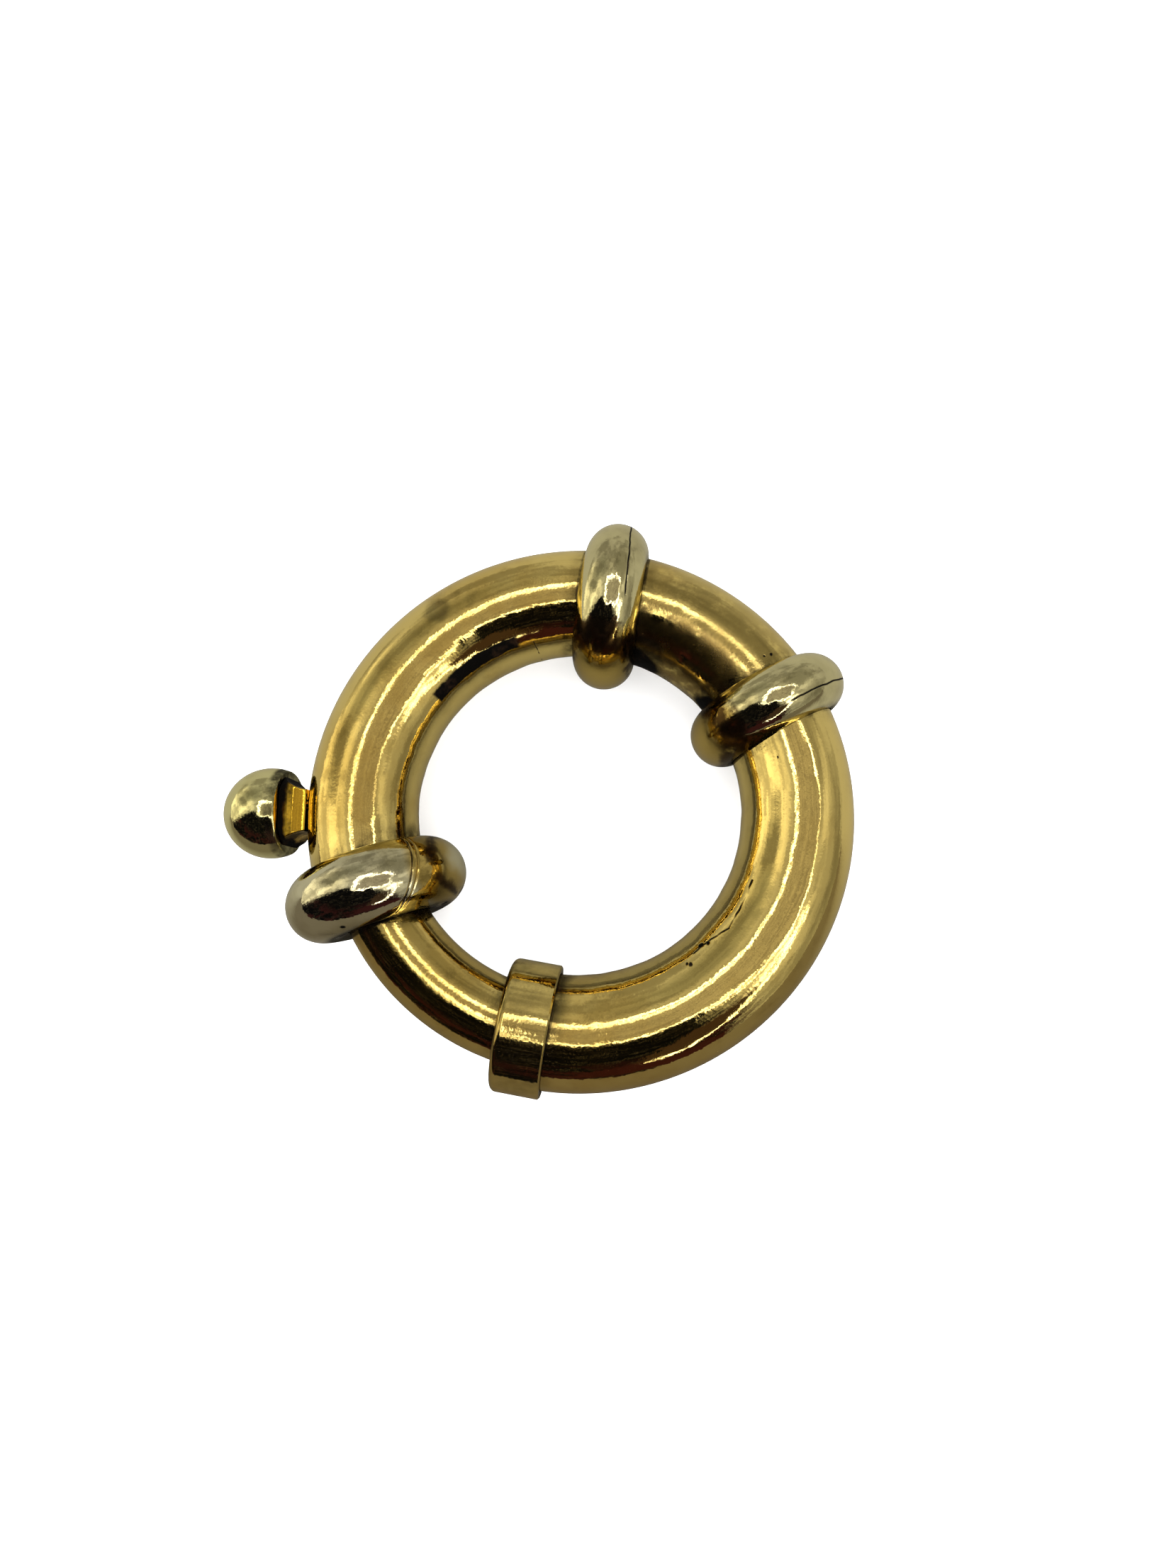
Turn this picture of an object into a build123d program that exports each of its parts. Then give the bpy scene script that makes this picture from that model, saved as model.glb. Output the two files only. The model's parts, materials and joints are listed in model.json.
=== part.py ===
from build123d import *

import os
from math import cos, degrees, radians, sin

# A bolt clasp: a round tube bent into a ring, open over a short gap. A curved bolt slides in the tube and
# closes the gap. A knob on the outside of the ring pulls the bolt back, against a spring in the tube.
# Two pale rings keep the chain's end ring between them, a larger one trims the tube's mouth, and a short
# collar on the other end catches the bolt's tip.
#
# The middle of the eye is the origin, and the ring lies in the XY plane. Lengths are in millimetres.
# Angles go round the ring in degrees, from +X towards +Y.

# Ring tube
ring_radius = 8.8
tube_radius = 2.2
tube_wall = 0.45

# Flat run along the tube's outer side, over which the knob's neck slides
run_depth = 0.1
run_end = 0.6

# Bolt
bolt_wall = 0.5
bolt_cap = 0.6
bolt_tail = 1.4
tip_engagement = 1.02
tip_round = 0.3

# The rings are straight bands on a bent tube, so they sit a little nearer the eye than its centre line
band_inset = 0.1

# Mouth ring, which covers the tube's open end and guides the bolt, soldered a little askew
mouth_angle = 202.4
mouth_skew = -3.2
mouth_half_width = 1.43
mouth_height = 1.4
mouth_guide = 0.8

# Stop rings, a pair on the far side of the eye
stop_top_angle = 81.3
stop_top_half_width = 1.28
stop_top_height = 1.25
stop_side_angle = 27.7
stop_side_half_width = 1.21
stop_side_height = 1.13

# Catch collar, a straight sleeve that covers the tube's other end, soldered a little askew
collar_angle = 257.4
collar_skew = 3
collar_length = 1.92
collar_height = 0.29
collar_lip = 0.6
collar_round = 0.25
collar_bevel = 0.06

# Knob: a ball on a square post with hollowed sides, whose stem goes through the slot into the bolt
knob_angle = 181
ball_radius = 1.87
ball_stand = 0.76
ball_face_round = 0.15
post_length = 0.88
neck_half_width = 0.85
head_half_width = 1.38
head_radius = 1.55
stem_radius = 0.55
stem_depth = 0.9
peg_radius = 0.5
peg_length = 0.9

# Clearances
seat_gap = 0.04
bolt_play = 0.19
running_gap = 0.06
neck_gap = 0.03
slot_gap = 0.09

eye = (0, 0, 0)


def arc_angle(length):
    """The angle, in degrees, that a length along the tube's centre line spans."""
    return degrees(length / ring_radius)


def outward(angle):
    """The direction from the middle of the eye at an angle."""
    return Vector(cos(radians(angle)), sin(radians(angle)), 0)


def along(angle):
    """The direction of the tube's centre line at an angle."""
    return Vector(-sin(radians(angle)), cos(radians(angle)), 0)


def section_plane(angle):
    """The plane that cuts the tube square across: x points away from the eye, and y points up."""
    return Plane(origin=outward(angle) * ring_radius, x_dir=outward(angle), z_dir=-along(angle))


def band_plane(angle, skew=0):
    """The plane of a band's section: x runs along the band's axis, and y points away from the eye."""
    return Plane(origin=outward(angle) * band_ring_radius, x_dir=along(angle + skew), z_dir=(0, 0, -1))


def band_axis(angle, skew=0):
    """The straight axis that a band goes round."""
    return Axis(origin=outward(angle) * band_ring_radius, direction=along(angle + skew))


def radial_plane(angle, distance):
    """A plane square to the knob's axis, at a distance from the middle of the eye."""
    return Plane(origin=outward(angle) * distance, x_dir=along(angle), z_dir=outward(angle))


# Places worked out from the sizes
band_ring_radius = ring_radius - band_inset
bore_radius = tube_radius - tube_wall
bolt_radius = bore_radius - bolt_play
guide_radius = bolt_radius + running_gap
seat_radius = tube_radius + seat_gap
bolt_outside = ring_radius + bolt_radius

mouth_face_angle = mouth_angle + arc_angle(mouth_half_width)
mouth_middle = outward(mouth_angle) * ring_radius
tube_end_angle = mouth_face_angle - arc_angle(mouth_guide)
catch_angle = collar_angle - arc_angle(collar_length / 2)
tube_start_angle = catch_angle + arc_angle(collar_lip)
tube_arc = tube_end_angle + 360 - tube_start_angle
mouth_seat_start = mouth_angle - arc_angle(2 * mouth_half_width)
mouth_seat_arc = tube_end_angle + arc_angle(seat_gap) - mouth_seat_start
collar_arc = arc_angle(collar_length)

bolt_tip_angle = catch_angle + arc_angle(tip_engagement)
bolt_back_angle = knob_angle - arc_angle(bolt_tail)
bolt_arc = bolt_tip_angle - bolt_back_angle
bolt_travel = bolt_tip_angle - mouth_face_angle

slot_half_width = stem_radius + slot_gap
slot_far_angle = knob_angle - bolt_travel

run_radius = ring_radius + tube_radius - run_depth
run_far_angle = slot_far_angle - arc_angle(neck_half_width + run_end)
post_base = run_radius + neck_gap
post_end = post_base + post_length
stem_end = bolt_outside - stem_depth
ball_face = post_end + seat_gap
ball_middle = ball_face + ball_stand

with BuildPart() as tube:
    with BuildSketch(section_plane(tube_start_angle)):
        Circle(tube_radius)
        Circle(bore_radius, mode=Mode.SUBTRACT)
    revolve(axis=Axis.Z, revolution_arc=tube_arc)
    # The flat run for the knob's neck
    with BuildSketch(section_plane(run_far_angle)):
        with Locations((tube_radius - run_depth, 0)):
            Rectangle(2 * run_depth, 2 * tube_radius, align=(Align.MIN, Align.CENTER))
    revolve(axis=Axis.Z, revolution_arc=tube_end_angle - run_far_angle, mode=Mode.SUBTRACT)
    # The slot along the outer side, in which the knob's stem travels
    with BuildSketch(section_plane(slot_far_angle)):
        with Locations((tube_radius - tube_wall / 2, 0)):
            Rectangle(2 * tube_wall, 2 * slot_half_width)
    revolve(axis=Axis.Z, revolution_arc=bolt_travel, mode=Mode.SUBTRACT)
    for angle in (slot_far_angle, knob_angle):
        with BuildSketch(radial_plane(angle, ring_radius)):
            Circle(slot_half_width)
        extrude(amount=tube_radius + tube_wall, mode=Mode.SUBTRACT)
tube.part.label = "tube"

# The room inside the mouth ring: the seat for the tube's end, then the guide for the bolt
with BuildPart() as mouth_bore:
    with BuildSketch(section_plane(mouth_seat_start)):
        Circle(seat_radius)
    revolve(axis=Axis.Z, revolution_arc=mouth_seat_arc)
    with BuildSketch(section_plane(mouth_angle)):
        Circle(guide_radius)
    revolve(axis=Axis.Z, revolution_arc=arc_angle(2 * mouth_half_width))

with BuildPart() as mouth_ring:
    with BuildSketch(band_plane(mouth_angle, mouth_skew)):
        with Locations((0, tube_radius)):
            Ellipse(mouth_half_width, mouth_height)
    revolve(axis=band_axis(mouth_angle, mouth_skew))
    add(mouth_bore.part, mode=Mode.SUBTRACT)
mouth_ring.part.label = "mouth_ring"

stop_rings = []
for name, angle, half_width, height in (
    ("stop_ring_top", stop_top_angle, stop_top_half_width, stop_top_height),
    ("stop_ring_side", stop_side_angle, stop_side_half_width, stop_side_height),
):
    with BuildPart() as stop_ring:
        with BuildSketch(band_plane(angle)):
            with Locations((0, tube_radius)):
                Ellipse(half_width, height)
        revolve(axis=band_axis(angle))
        Torus(ring_radius, seat_radius, mode=Mode.SUBTRACT)
    stop_ring.part.label = name
    stop_rings.append(stop_ring.part)

# The room inside the collar: the hole for the bolt's tip, then the seat for the tube's end
with BuildPart() as collar_bore:
    with BuildSketch(section_plane(catch_angle - collar_arc)):
        Circle(guide_radius)
    revolve(axis=Axis.Z, revolution_arc=2 * collar_arc)
    with BuildSketch(section_plane(tube_start_angle - arc_angle(seat_gap))):
        Circle(seat_radius)
    revolve(axis=Axis.Z, revolution_arc=2 * collar_arc)

collar_middle = outward(collar_angle) * ring_radius
with BuildPart() as catch_collar:
    with BuildSketch(Plane(origin=collar_middle, z_dir=along(collar_angle + collar_skew))):
        Circle(seat_radius + collar_height)
    extrude(amount=collar_length / 2, both=True)
    ends = catch_collar.faces().filter_by(GeomType.PLANE).sort_by_distance(mouth_middle)
    fillet(ends[0].edges(), radius=collar_round)
    ends = catch_collar.faces().filter_by(GeomType.PLANE).sort_by_distance(mouth_middle)
    chamfer(ends[-1].edges(), length=collar_bevel)
    add(collar_bore.part, mode=Mode.SUBTRACT)
catch_collar.part.label = "catch_collar"

with BuildPart() as bolt:
    with BuildSketch(section_plane(bolt_back_angle)):
        Circle(bolt_radius)
    revolve(axis=Axis.Z, revolution_arc=bolt_arc)
    fillet(bolt.faces().filter_by(GeomType.PLANE).edges(), radius=tip_round)
    # The bore, open at the back for the spring and closed by the tip
    with BuildSketch(section_plane(bolt_back_angle - arc_angle(bolt_wall))):
        Circle(bolt_radius - bolt_wall)
    revolve(axis=Axis.Z, revolution_arc=bolt_arc - arc_angle(bolt_cap - bolt_wall), mode=Mode.SUBTRACT)
    # The cross hole for the knob's stem
    with BuildSketch(radial_plane(knob_angle, stem_end - seat_gap)):
        Circle(stem_radius + seat_gap)
    extrude(amount=2 * stem_depth, mode=Mode.SUBTRACT)
bolt.part.label = "bolt"

with BuildPart() as knob_post:
    # The hollowed sides, cut from above and again from along the ring
    for side, mode in ((Vector(0, 0, 1), Mode.ADD), (along(knob_angle), Mode.INTERSECT)):
        with BuildSketch(Plane(origin=eye, x_dir=outward(knob_angle), z_dir=side)):
            with BuildLine():
                Line((post_base, -neck_half_width), (post_base, neck_half_width))
                TangentArc((post_base, neck_half_width), (post_end, head_half_width), tangent=(1, 0))
                Line((post_end, head_half_width), (post_end, -head_half_width))
                TangentArc((post_base, -neck_half_width), (post_end, -head_half_width), tangent=(1, 0))
            make_face()
        extrude(amount=head_radius, both=True, mode=mode)
    with BuildSketch(radial_plane(knob_angle, post_base)):
        Circle(head_radius)
    extrude(amount=post_length, mode=Mode.INTERSECT)
    with BuildSketch(radial_plane(knob_angle, stem_end)):
        Circle(stem_radius)
    extrude(amount=post_base - stem_end)
    with BuildSketch(radial_plane(knob_angle, post_end)):
        Circle(peg_radius)
    extrude(amount=peg_length)
knob_post.part.label = "knob_post"

with BuildPart() as knob_ball:
    with Locations(radial_plane(knob_angle, ball_middle)):
        Sphere(ball_radius)
    split(bisect_by=radial_plane(knob_angle, ball_face), keep=Keep.TOP)
    fillet(knob_ball.faces().filter_by(GeomType.PLANE).edges(), radius=ball_face_round)
    with BuildSketch(radial_plane(knob_angle, ball_face)):
        Circle(peg_radius + seat_gap)
    extrude(amount=peg_length, mode=Mode.SUBTRACT)
knob_ball.part.label = "knob_ball"

os.makedirs("parts", exist_ok=True)
for piece in (
    tube.part,
    mouth_ring.part,
    *stop_rings,
    catch_collar.part,
    bolt.part,
    knob_post.part,
    knob_ball.part,
):
    export_step(piece, f"parts/{piece.label}.step")
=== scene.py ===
# The looks of a bolt clasp in two colours of gold, lying on a pale floor. Places are in metres, in the
# frame's axes: the middle of the eye is the origin, and the ring lies level.
import json
from math import cos, degrees, pi, radians, sin

import bmesh
import bpy
import numpy as np
from mathutils import Matrix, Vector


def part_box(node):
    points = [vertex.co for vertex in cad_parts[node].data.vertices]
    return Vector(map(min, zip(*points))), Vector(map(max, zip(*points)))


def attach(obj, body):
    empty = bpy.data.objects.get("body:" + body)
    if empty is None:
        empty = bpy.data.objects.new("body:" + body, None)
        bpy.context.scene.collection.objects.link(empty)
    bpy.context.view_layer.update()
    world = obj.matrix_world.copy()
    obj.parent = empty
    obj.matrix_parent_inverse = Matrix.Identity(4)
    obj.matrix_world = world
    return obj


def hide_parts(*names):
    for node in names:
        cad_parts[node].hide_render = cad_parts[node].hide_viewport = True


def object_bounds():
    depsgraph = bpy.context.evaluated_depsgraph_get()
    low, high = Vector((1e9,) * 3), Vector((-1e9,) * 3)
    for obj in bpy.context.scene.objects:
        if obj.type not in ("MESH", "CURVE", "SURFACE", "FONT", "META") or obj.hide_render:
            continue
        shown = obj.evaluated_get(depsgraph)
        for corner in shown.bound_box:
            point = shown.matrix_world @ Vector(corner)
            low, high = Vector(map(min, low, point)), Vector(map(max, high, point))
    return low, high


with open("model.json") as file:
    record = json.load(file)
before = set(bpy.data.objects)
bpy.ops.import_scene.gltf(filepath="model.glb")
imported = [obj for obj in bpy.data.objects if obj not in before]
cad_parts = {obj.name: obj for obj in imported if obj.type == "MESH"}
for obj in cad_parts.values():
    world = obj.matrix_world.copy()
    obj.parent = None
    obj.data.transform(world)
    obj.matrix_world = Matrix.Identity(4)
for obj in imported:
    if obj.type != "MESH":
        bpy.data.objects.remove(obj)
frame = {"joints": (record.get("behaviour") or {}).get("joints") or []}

MM = 0.001
CAD_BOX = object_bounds()
upwards = np.array([0.0, 0.0, 1.0])

# Sizes and places read from the frame
tube_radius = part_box("tube")[1].z
ring_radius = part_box("tube")[1].x - tube_radius
bolt_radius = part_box("bolt")[1].z
mouth_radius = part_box("mouth_ring")[1].z
collar_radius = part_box("catch_collar")[1].z
floor_height = CAD_BOX[0].z
bolt_travel = radians(frame["joints"][0]["range_deg"][1])


def place_round_eye(node):
    """The angle round the eye, in radians, of the middle of a node's box."""
    low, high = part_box(node)
    middle = (low + high) / 2
    return float(np.arctan2(middle.y, middle.x)) % (2 * pi)


# Places round the eye, in radians from +X towards +Y
knob_angle = place_round_eye("knob_ball")
mouth_angle = radians(202.4)
mouth_skew = radians(-3.2)
stop_top_angle = radians(81.3)
stop_side_angle = radians(27.7)
collar_angle = radians(257.4)
collar_skew = radians(3.0)

# Tube
bore_radius = 1.75 * MM
run_radius = ring_radius + tube_radius - 0.1 * MM
slot_half_width = 0.64 * MM
run_slope = 0.3 * MM

# Mouth ring and stop rings: straight bands of oval section, a little nearer the eye than the tube's line
seat_gap = 0.04 * MM
seat_radius = tube_radius + seat_gap
guide_radius = bolt_radius + 0.06 * MM
band_ring_radius = ring_radius - 0.1 * MM
mouth_half_width = 1.43 * MM
mouth_guide = 0.8 * MM
stop_top_half_width = 1.28 * MM
stop_side_half_width = 1.21 * MM

# Catch collar
collar_half_length = 0.96 * MM
collar_lip = 0.6 * MM
collar_round = 0.25 * MM
collar_bevel = 0.06 * MM

# Bolt
bolt_tip = 1.02 * MM
bolt_tail = 1.4 * MM
bolt_bore = bolt_radius - 0.5 * MM
bolt_cap = 0.6 * MM
tip_round = 0.3 * MM

# Knob: distances from the eye along its axis, and radii
post_base = run_radius + 0.03 * MM
post_end = post_base + 0.88 * MM
neck_half_width = 0.85 * MM
head_half_width = 1.38 * MM
head_radius = 1.55 * MM
stem_end = 9.46 * MM
stem_radius = 0.55 * MM
peg_radius = 0.5 * MM
peg_length = 0.9 * MM
ball_face = post_end + seat_gap
ball_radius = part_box("knob_ball")[1].z
ball_middle = ball_face + 0.76 * MM

catch_angle = collar_angle - collar_half_length / ring_radius
mouth_face = mouth_angle + mouth_half_width / ring_radius
tube_end = mouth_face - mouth_guide / ring_radius
tube_start = catch_angle + collar_lip / ring_radius
run_far = knob_angle - bolt_travel - (neck_half_width + 0.6 * MM) / ring_radius


def ring_point(angle, distance, height):
    """A point at an angle round the eye, a distance from the eye's axis and a height."""
    return np.stack(np.broadcast_arrays(distance * np.cos(angle), distance * np.sin(angle), height), axis=-1)


def tube_point(angle, distance, turn):
    """A point at a distance from the tube's centre line. The turn about that line is 0 away from the eye and
    a quarter turn upwards."""
    return ring_point(angle, ring_radius + distance * np.cos(turn), distance * np.sin(turn))


def lines_between(knots, counts):
    """Rows of evenly spaced values from each row of knots to the next, with as many steps as its count."""
    rows = [
        a + (b - a) * (np.arange(count) / count).reshape(-1, *[1] * np.ndim(a))
        for a, b, count in zip(knots, knots[1:], counts)
    ]
    return np.concatenate(rows + [knots[-1][None, :]])


def smooth_step(value, start, end):
    """0 before the start and 1 past the end, with a smooth rise between them."""
    share = np.clip((value - start) / (end - start), 0, 1)
    return share * share * (3 - 2 * share)


def grid_faces(rows, columns, first):
    """The four corners of each face between neighbouring rows and columns of points."""
    row, column = np.meshgrid(np.arange(rows - 1), np.arange(columns - 1), indexing="ij")
    corner = first + row * columns + column
    return np.stack([corner, corner + columns, corner + columns + 1, corner + 1], axis=-1).reshape(-1, 4)


# Points nearer than the first are merged, edges shorter than the second are dissolved, and creases steeper
# than the third are sharp
merge_distance = 2e-7
shortest_edge = 1e-8
crease_angle = radians(38)


def make_piece(name, body, finish, grids):
    """Joins grids of points into one closed skin, replaces the frame's node of the same name, and rides on
    its body. Where grids meet, and at seams and poles, the points are merged."""
    points, faces, count = [], [], 0
    for grid in grids:
        rows, columns = grid.shape[:2]
        points.append(grid.reshape(-1, 3))
        faces.append(grid_faces(rows, columns, count))
        count += rows * columns
    mesh = bpy.data.meshes.new(name + "_skin")
    corners = np.concatenate(faces)
    mesh.vertices.add(count)
    mesh.vertices.foreach_set("co", np.concatenate(points).astype(np.float32).ravel())
    mesh.loops.add(corners.size)
    mesh.loops.foreach_set("vertex_index", corners.ravel())
    mesh.polygons.add(len(corners))
    mesh.polygons.foreach_set("loop_start", np.arange(0, corners.size, 4))
    mesh.update(calc_edges=True)
    skin = bmesh.new()
    skin.from_mesh(mesh)
    bmesh.ops.remove_doubles(skin, verts=skin.verts, dist=merge_distance)
    bmesh.ops.dissolve_degenerate(skin, edges=skin.edges, dist=shortest_edge)
    bmesh.ops.recalc_face_normals(skin, faces=skin.faces)
    skin.to_mesh(mesh)
    skin.free()
    mesh.shade_smooth()
    mesh.set_sharp_from_angle(angle=crease_angle)
    mesh.materials.append(finish)
    piece = bpy.data.objects.new(name + "_piece", mesh)
    bpy.context.collection.objects.link(piece)
    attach(piece, body)
    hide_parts(name)
    return piece


def hand_ripple(angle, turn, seed, height):
    """The slight unevenness that hand polishing leaves: a sum of cosines of the place round the eye and the
    turn round the tube, the longer waves the higher. Each has a number of waves along the tube and across
    it, and the height is that of 14 waves along it."""
    cosines = 26
    chance = np.random.default_rng(seed)
    waves_along = chance.integers(6, 70, cosines)
    waves_across = chance.integers(-7, 8, cosines)
    total = 0 * (angle + turn)
    for along, across in zip(waves_along, waves_across):
        size = height * 14 / np.hypot(along, 5 * across)
        total = total + size * np.cos(along * angle + across * turn + chance.uniform(0, 2 * pi))
    return total


# The ring tube

def slot_opening(angle):
    """Half the slot's width at each angle: level between its ends, and a half circle past each end."""
    beyond = np.maximum(np.maximum(knob_angle - bolt_travel - angle, angle - knob_angle), 0) * run_radius
    return np.sqrt(np.maximum(slot_half_width**2 - beyond**2, 0))


def make_tube(finish):
    """A round tube carried round the eye. Its skin and bore are grids of the place round the eye and the
    turn round the tube, whose first and last lines run along the slot's edges and meet where there is no
    slot."""
    slot_end = slot_half_width / run_radius
    round_end = np.sin(np.linspace(0, pi / 2, 9)) * slot_end
    run_full = run_far + run_slope / ring_radius
    places = np.concatenate([
        np.linspace(tube_start, tube_end + 2 * pi, 330),
        knob_angle + 2 * pi + round_end,
        knob_angle + 2 * pi - bolt_travel - round_end,
        np.linspace(run_far, run_full, 7) + 2 * pi,
    ])
    angle = np.unique(places.round(7))[:, None]
    run_edge = np.arccos((run_radius - ring_radius) / tube_radius)
    half = np.concatenate([np.linspace(0, run_edge, 5), np.linspace(run_edge, pi, 43)[1:]])
    around = np.concatenate([half, 2 * pi - half[-2::-1]])[None, :]
    opening = slot_opening(angle - 2 * pi)

    def skin(radius, depth_of_run):
        edge = np.arcsin(opening / radius)
        turn = pi + (around - pi) * (pi - edge) / pi
        reach = ring_radius + radius * np.cos(turn)
        past_start = smooth_step(angle - 2 * pi, run_far, run_full)
        reach = reach - depth_of_run * past_start * np.maximum(reach - run_radius, 0)
        return ring_point(angle, reach, radius * np.sin(turn))

    uneven = hand_ripple(angle, around, seed=3, height=0.0035 * MM)
    outer = skin(tube_radius + uneven * np.sin(around / 2) ** 2, 1)
    inner = skin(bore_radius + 0 * around, 0)
    cut = np.nonzero(opening[:, 0] > 0)[0]
    cut = np.arange(cut[0] - 1, cut[-1] + 2)
    walls = [np.stack([outer[cut, side], inner[cut, side]]) for side in (0, -1)]
    ends = [np.stack([outer[end], inner[end]]) for end in (0, -1)]
    return make_piece("tube", "case", finish, [outer, inner, *walls, *ends])


# The rings on the tube

def directions(angle):
    """The way out from the eye at an angle, and the way forward round it."""
    return np.array([cos(angle), sin(angle), 0]), np.array([-sin(angle), cos(angle), 0])


def band_point(band, turn, oval, depth=0.0):
    """A point on a band's oval skin, or a depth under it. The turn goes about the band's axis as the tube's
    does about its line, and the oval angle goes from the band's crest, forward round the eye."""
    place, skew, half_width, outer_radius = band
    middle = directions(place)[0] * band_ring_radius
    out, forward = directions(place + skew)
    reach = tube_radius + (outer_radius - tube_radius - depth) * np.cos(oval)
    side = half_width * np.sin(oval)
    spoke = np.cos(turn)[..., None] * out + np.sin(turn)[..., None] * upwards
    return middle + reach[..., None] * spoke + side[..., None] * forward


def find_edge(band, turn, distance, end):
    """The oval angle at which a band's skin comes within a distance of the tube's centre line, for each
    turn, found by halving the range from its crest to an end."""
    halvings = 40
    near, far = 0 * turn, 0 * turn + end
    for halving in range(halvings):
        middle = (near + far) / 2
        point = band_point(band, turn, middle)
        gap = np.hypot(np.hypot(point[..., 0], point[..., 1]) - ring_radius, point[..., 2])
        near = np.where(gap > distance, middle, near)
        far = np.where(gap > distance, far, middle)
    return (near + far) / 2


def round_tube(point):
    """The angle round the eye and the turn round the tube at which a point lies."""
    distance = np.hypot(point[..., 0], point[..., 1])
    angle = np.arctan2(point[..., 1], point[..., 0]) % (2 * pi)
    return angle, np.arctan2(point[..., 2], distance - ring_radius)


def make_ring(name, band, finish, turn, sink=None, closes=False):
    """A band's skin is an oval carried about the band's axis. Its two edges lie on the tube's seat, and the
    way back between them follows the tube, with a step where the mouth ring closes in to guide the bolt."""
    past_edges = 2.6
    first = find_edge(band, turn, seat_radius, -past_edges)
    last = find_edge(band, turn, guide_radius if closes else seat_radius, past_edges)
    oval = lines_between([first, 0 * turn, last], [48, 48])
    depth = sink(turn, oval) if sink else 0.0
    skin = band_point(band, turn + 0 * oval, oval, depth)
    start_angle, start_turn = round_tube(skin[0])
    end_angle, end_turn = round_tube(skin[-1])
    sweep = (end_turn - start_turn + pi) % (2 * pi) - pi
    share = np.linspace(0, 1, 9)[:, None]
    if closes:
        shoulder = tube_end + seat_gap / ring_radius
        middle_turn = end_turn - sweep / 2
        guide_angle = end_angle + (shoulder - end_angle) * share
        guide = tube_point(guide_angle, guide_radius, end_turn - sweep * share / 2)
        step = np.stack([guide[-1], tube_point(shoulder + 0 * middle_turn, seat_radius, middle_turn)])
        seat_angle = shoulder + (start_angle - shoulder) * share
        back = [guide, step, tube_point(seat_angle, seat_radius, middle_turn - sweep * share / 2)]
    else:
        seat_angle = end_angle + (start_angle - end_angle) * share
        back = [tube_point(seat_angle, seat_radius, end_turn - sweep * share)]
    return make_piece(name, "case", finish, [skin, *back])


mouth_band = (mouth_angle, mouth_skew, mouth_half_width, mouth_radius)
stop_top_band = (stop_top_angle, 0.0, stop_top_half_width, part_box("stop_ring_top")[1].z)
stop_side_band = (stop_side_angle, 0.0, stop_side_half_width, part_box("stop_ring_side")[1].z)
full_turn = np.linspace(0, 2 * pi, 361)

# The mouth ring's solder seam: two fine grooves across its top, which lean a little
seam_turn = radians(129.4)
seam_lean = -0.145
seam_bow = 0.039
seam_half_gap = 0.12 * MM
seam_half_width = 0.035 * MM
seam_depth = 0.03 * MM


def seam_line(oval):
    """The turn at which the seam crosses each oval angle: it leans, and bows a little."""
    return seam_turn + seam_lean * oval - seam_bow * oval * oval


def seam_sink(turn, oval):
    """How deep the seam's two grooves are: each one a rounded notch about a line of the ring."""
    distance = (turn - seam_line(oval)) * mouth_radius
    across = (np.abs(distance) - seam_half_gap) / seam_half_width
    return seam_depth * np.exp(-across * across) * smooth_step(np.abs(oval), 2.0, 1.4)


def seam_turns():
    """Turns about the mouth ring's axis, close together where the seam runs."""
    close_turns = np.radians(112 + 0.12 * np.arange(220))
    return np.unique(np.concatenate([full_turn, close_turns]).round(8))


# The catch collar and the bolt: a section's outline carried round the tube's centre line

def corner(place, distance, radius, start, end, steps=8):
    """A quarter of a circle in a section: places along the tube and distances from its centre line."""
    swing = np.linspace(radians(start), radians(end), steps)
    return np.stack([place + radius * np.cos(swing), distance + radius * np.sin(swing)], axis=-1)


def straight(start, end, steps):
    """Even points from one corner of a section's outline to the next."""
    return np.linspace(start, end, steps)


def carry_round(outline, middle_angle, turn):
    """Turns an outline, given as lengths along the tube from an angle and distances from the tube's centre
    line, about that line."""
    angle = middle_angle + outline[:, :1] / ring_radius
    return tube_point(angle, outline[:, 1:], turn[None, :])


def collar_edge(offset, radius, turn):
    """The angles round the eye at which the collar's end plane cuts a round hole that follows the tube's
    line. The plane is square to the collar's straight axis, at an offset from its middle."""
    axis_angle = collar_angle + collar_skew
    reach = ring_radius + radius * np.cos(turn)
    shift = ring_radius * sin(collar_angle - axis_angle)
    return axis_angle + np.arcsin((offset + shift) / reach)


def make_collar(finish):
    """A straight sleeve on the bent tube's end, rounded at the gap and bevelled at its far end. Inside, a
    hole for the bolt and a seat for the tube follow the tube's line."""
    turn = full_turn
    half = collar_half_length
    out, forward = directions(collar_angle + collar_skew)
    middle = directions(collar_angle)[0] * ring_radius
    outline = np.concatenate([
        corner(collar_round - half, collar_radius - collar_round, collar_round, 180, 90, 10),
        straight((collar_round - half, collar_radius), (half - collar_bevel, collar_radius), 60)[1:],
        straight((half - collar_bevel, collar_radius), (half, collar_radius - collar_bevel), 3)[1:],
    ])
    spoke = np.cos(turn)[:, None] * out + np.sin(turn)[:, None] * upwards
    sleeve = middle + outline[:, :1, None] * forward + outline[:, 1:, None] * spoke
    hole_angle = collar_edge(-half, guide_radius, turn)
    seat_angle = collar_edge(half, seat_radius, turn)
    lip = tube_start - seat_gap / ring_radius
    share = np.linspace(0, 1, 7)[:, None]
    bolt_hole = tube_point(lip + (hole_angle - lip) * share, guide_radius, turn)
    tube_seat = tube_point(seat_angle + (lip - seat_angle) * share, seat_radius, turn)
    front = lines_between([bolt_hole[-1], sleeve[0]], [8])
    back = lines_between([sleeve[-1], tube_seat[0]], [4])
    step = np.stack([tube_seat[-1], bolt_hole[0]])
    grids = [bolt_hole, front, sleeve, back, tube_seat, step]
    return make_piece("catch_collar", "case", finish, grids)


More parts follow.
